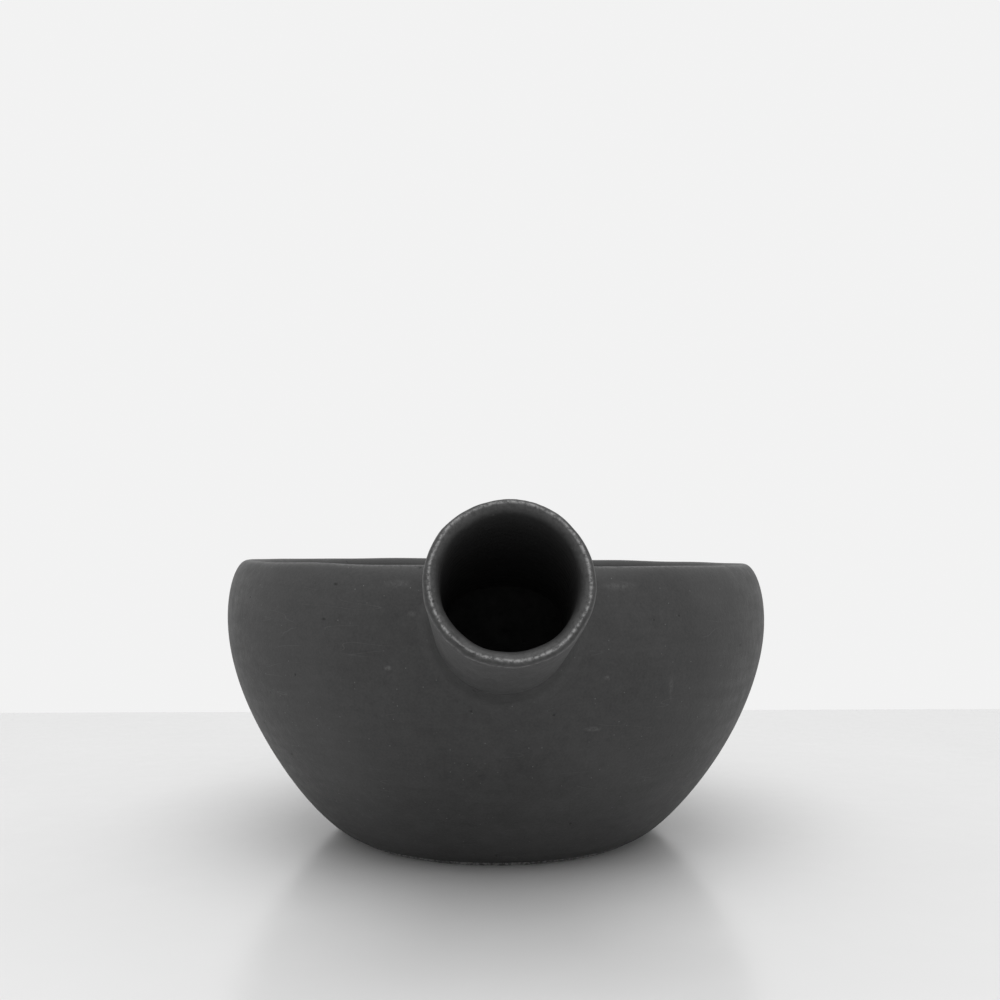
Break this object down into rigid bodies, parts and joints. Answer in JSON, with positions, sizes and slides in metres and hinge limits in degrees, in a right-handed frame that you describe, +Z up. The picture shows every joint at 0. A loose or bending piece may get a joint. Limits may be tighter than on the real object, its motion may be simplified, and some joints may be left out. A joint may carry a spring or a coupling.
{
  "type": "clay cooking pot",
  "caption": "Low round cooking pot of dark unglazed clay with a full belly, in-turned shoulder, thick rounded rim and a short hollow tube handle pointing out and up.",
  "frame": {"origin": "middle of the flat underside of the base disc, on the pot's own axis", "axes": "+Z up along the pot's axis, the handle points along -Y and tilts up, +X to the right seen from the handle's mouth"},
  "size_m": [0.18, 0.2315, 0.1054],
  "materials": {
    "base_clay": "matte, smooth at the edge",
    "body_clay": "matte, fine speckled, lightly burnished",
    "handle_clay": "matte, worn light and gritty at the lip",
    "luting_clay": "matte, wiped smooth by hand"
  },
  "bodies": {
    "root": {"base_disc": "base_clay", "pot_body": "body_clay", "tube_handle": "handle_clay", "luting_coil": "luting_clay"}
  },
  "joints": []
}
